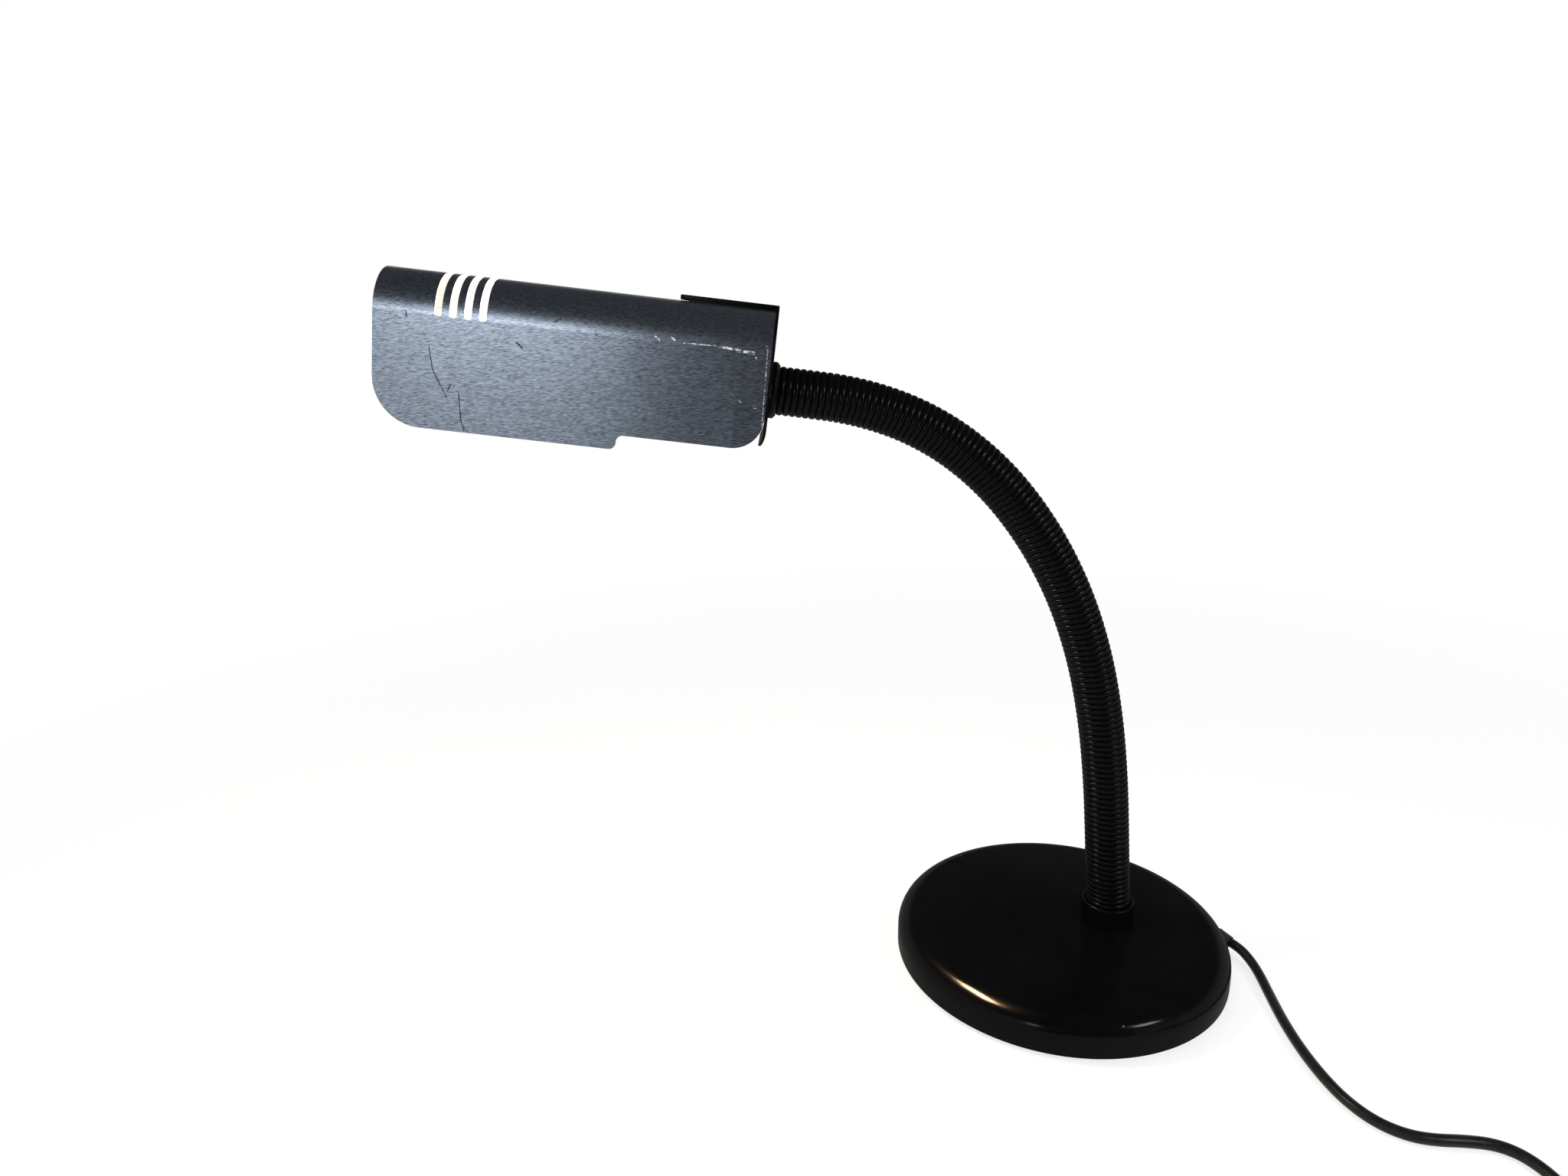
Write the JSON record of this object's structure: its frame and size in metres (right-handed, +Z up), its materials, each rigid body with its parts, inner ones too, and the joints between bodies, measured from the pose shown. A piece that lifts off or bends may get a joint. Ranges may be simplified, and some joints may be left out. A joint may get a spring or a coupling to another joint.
{
  "type": "gooseneck desk lamp",
  "caption": "Desk lamp with a round weighted base, a ribbed flexible neck and a folded, slotted sheet-metal shade over a screw-in bulb, with a rocker switch on the shade",
  "frame": {"origin": "centre of the base's underside, on the surface that the lamp stands on", "axes": "+Z up; the head reaches towards -X and the cord leaves at +X; Y = 0 is the lamp's plane of symmetry"},
  "size_m": [0.6101, 0.337, 0.364],
  "materials": {
    "base_cover": "satin black moulding",
    "base_weight": "rough cast",
    "base_plate": "black paint",
    "foot_pad": "matte",
    "base_screws": "zinc plated",
    "neck_collar": "satin black",
    "collar_washer": "zinc plated",
    "collar_nut": "zinc plated",
    "terminal_block": "natural",
    "terminal_screws": "bright",
    "clamp_saddle": "matte",
    "clamp_bar": "matte",
    "clamp_screws": "zinc plated",
    "head_bush": "satin black",
    "bush_nut": "zinc plated",
    "rear_cap": "fine satin",
    "shade": "brushed, dark blue-grey",
    "lamp_holder": "satin",
    "holder_shell": "bright",
    "holder_ring": "satin",
    "centre_contact": "bright",
    "bulb_cap": "bright",
    "bulb_glass": "opal, lit",
    "switch_body": "fine satin",
    "switch_rocker": "gloss",
    "switch_terminals": "bright",
    "shade_screws": "blackened",
    "shade_nuts": "zinc plated",
    "inner_lead": "matte",
    "cord_gland": "matte",
    "cord_tail": "matte",
    "mains_cord": "satin",
    "cord_coil": "satin",
    "cord_tie": "matte",
    "plug_body": "satin",
    "plug_pins": "bright",
    "neck_link_01": "satin black, ribbed",
    "neck_link_02": "satin black, ribbed",
    "neck_link_03": "satin black, ribbed",
    "neck_link_04": "satin black, ribbed",
    "neck_link_05": "satin black, ribbed",
    "neck_link_06": "satin black, ribbed",
    "neck_link_07": "satin black, ribbed",
    "neck_link_08": "satin black, ribbed",
    "neck_link_09": "satin black, ribbed",
    "neck_link_10": "satin black, ribbed"
  },
  "bodies": {
    "base": {"base_cover": "base_cover", "base_weight": "base_weight", "base_plate": "base_plate", "foot_pad": "foot_pad", "base_screws": "base_screws", "neck_collar": "neck_collar", "collar_washer": "collar_washer", "collar_nut": "collar_nut", "terminal_block": "terminal_block", "terminal_screws": "terminal_screws", "clamp_saddle": "clamp_saddle", "clamp_bar": "clamp_bar", "clamp_screws": "clamp_screws", "cord_gland": "cord_gland", "cord_tail": "cord_tail", "mains_cord": "mains_cord", "cord_coil": "cord_coil", "cord_tie": "cord_tie", "plug_body": "plug_body", "plug_pins": "plug_pins", "inner_lead": "inner_lead"},
    "link_01": {"neck_link_01": "neck_link_01"},
    "link_02": {"neck_link_02": "neck_link_02"},
    "link_03": {"neck_link_03": "neck_link_03"},
    "link_04": {"neck_link_04": "neck_link_04"},
    "link_05": {"neck_link_05": "neck_link_05"},
    "link_06": {"neck_link_06": "neck_link_06"},
    "link_07": {"neck_link_07": "neck_link_07"},
    "link_08": {"neck_link_08": "neck_link_08"},
    "link_09": {"neck_link_09": "neck_link_09"},
    "link_10": {"neck_link_10": "neck_link_10"},
    "head": {"head_bush": "head_bush", "bush_nut": "bush_nut", "rear_cap": "rear_cap", "shade": "shade", "shade_screws": "shade_screws", "shade_nuts": "shade_nuts", "lamp_holder": "lamp_holder", "holder_shell": "holder_shell", "holder_ring": "holder_ring", "centre_contact": "centre_contact", "bulb_cap": "bulb_cap", "bulb_glass": "bulb_glass", "switch_body": "switch_body", "switch_terminals": "switch_terminals"},
    "rocker": {"switch_rocker": "switch_rocker"}
  },
  "joints": [
    {"name": "neck_lower_bend_1", "type": "hinge", "parent": "base", "child": "link_01", "pos_m": [0.026, 0, 0.03], "axis": [0, 1, 0], "range_deg": [-6, 12], "deforming": ["inner_lead"]},
    {"name": "neck_sway_1", "type": "hinge", "parent": "link_01", "child": "link_02", "pos_m": [0.02304, 0, 0.06598], "axis": [0.9963, 0, 0.0863], "range_deg": [-10, 10]},
    {"name": "neck_lower_bend_2", "type": "hinge", "parent": "link_02", "child": "link_03", "pos_m": [0.01977, 0, 0.10193], "axis": [0, 1, 0], "range_deg": [-6, 12]},
    {"name": "neck_sway_2", "type": "hinge", "parent": "link_03", "child": "link_04", "pos_m": [0.01462, 0, 0.13766], "axis": [0.9826, 0, 0.1857], "range_deg": [-10, 10]},
    {"name": "neck_lower_bend_3", "type": "hinge", "parent": "link_04", "child": "link_05", "pos_m": [0.00638, 0, 0.17281], "axis": [0, 1, 0], "range_deg": [-6, 12]},
    {"name": "neck_sway_3", "type": "hinge", "parent": "link_05", "child": "link_06", "pos_m": [-0.00638, 0, 0.20658], "axis": [0.9048, 0, 0.4258], "range_deg": [-10, 10]},
    {"name": "neck_upper_bend_1", "type": "hinge", "parent": "link_06", "child": "link_07", "pos_m": [-0.02427, 0, 0.23793], "axis": [0, 1, 0], "range_deg": [-6, 12]},
    {"name": "neck_upper_bend_2", "type": "hinge", "parent": "link_07", "child": "link_08", "pos_m": [-0.04733, 0, 0.26571], "axis": [0, 1, 0], "range_deg": [-6, 12]},
    {"name": "neck_upper_bend_3", "type": "hinge", "parent": "link_08", "child": "link_09", "pos_m": [-0.07623, 0, 0.28733], "axis": [0, 1, 0], "range_deg": [-6, 12]},
    {"name": "neck_upper_bend_4", "type": "hinge", "parent": "link_09", "child": "link_10", "pos_m": [-0.10987, 0, 0.30045], "axis": [0, 1, 0], "range_deg": [-6, 12]},
    {"name": "neck_upper_bend_5", "type": "hinge", "parent": "link_10", "child": "head", "pos_m": [-0.14563, 0, 0.30535], "axis": [0, 1, 0], "range_deg": [-6, 12]},
    {"name": "switch_rock", "type": "hinge", "parent": "head", "child": "rocker", "pos_m": [-0.17347, 0, 0.3438], "axis": [0, 1, 0], "range_deg": [0, 14]}
  ],
  "couplings": [
    {"joint": "neck_lower_bend_2", "follows": "neck_lower_bend_1", "ratio": 1},
    {"joint": "neck_sway_2", "follows": "neck_sway_1", "ratio": 1},
    {"joint": "neck_lower_bend_3", "follows": "neck_lower_bend_1", "ratio": 1},
    {"joint": "neck_sway_3", "follows": "neck_sway_1", "ratio": 1},
    {"joint": "neck_upper_bend_2", "follows": "neck_upper_bend_1", "ratio": 1},
    {"joint": "neck_upper_bend_3", "follows": "neck_upper_bend_1", "ratio": 1},
    {"joint": "neck_upper_bend_4", "follows": "neck_upper_bend_1", "ratio": 1},
    {"joint": "neck_upper_bend_5", "follows": "neck_upper_bend_1", "ratio": 1}
  ]
}
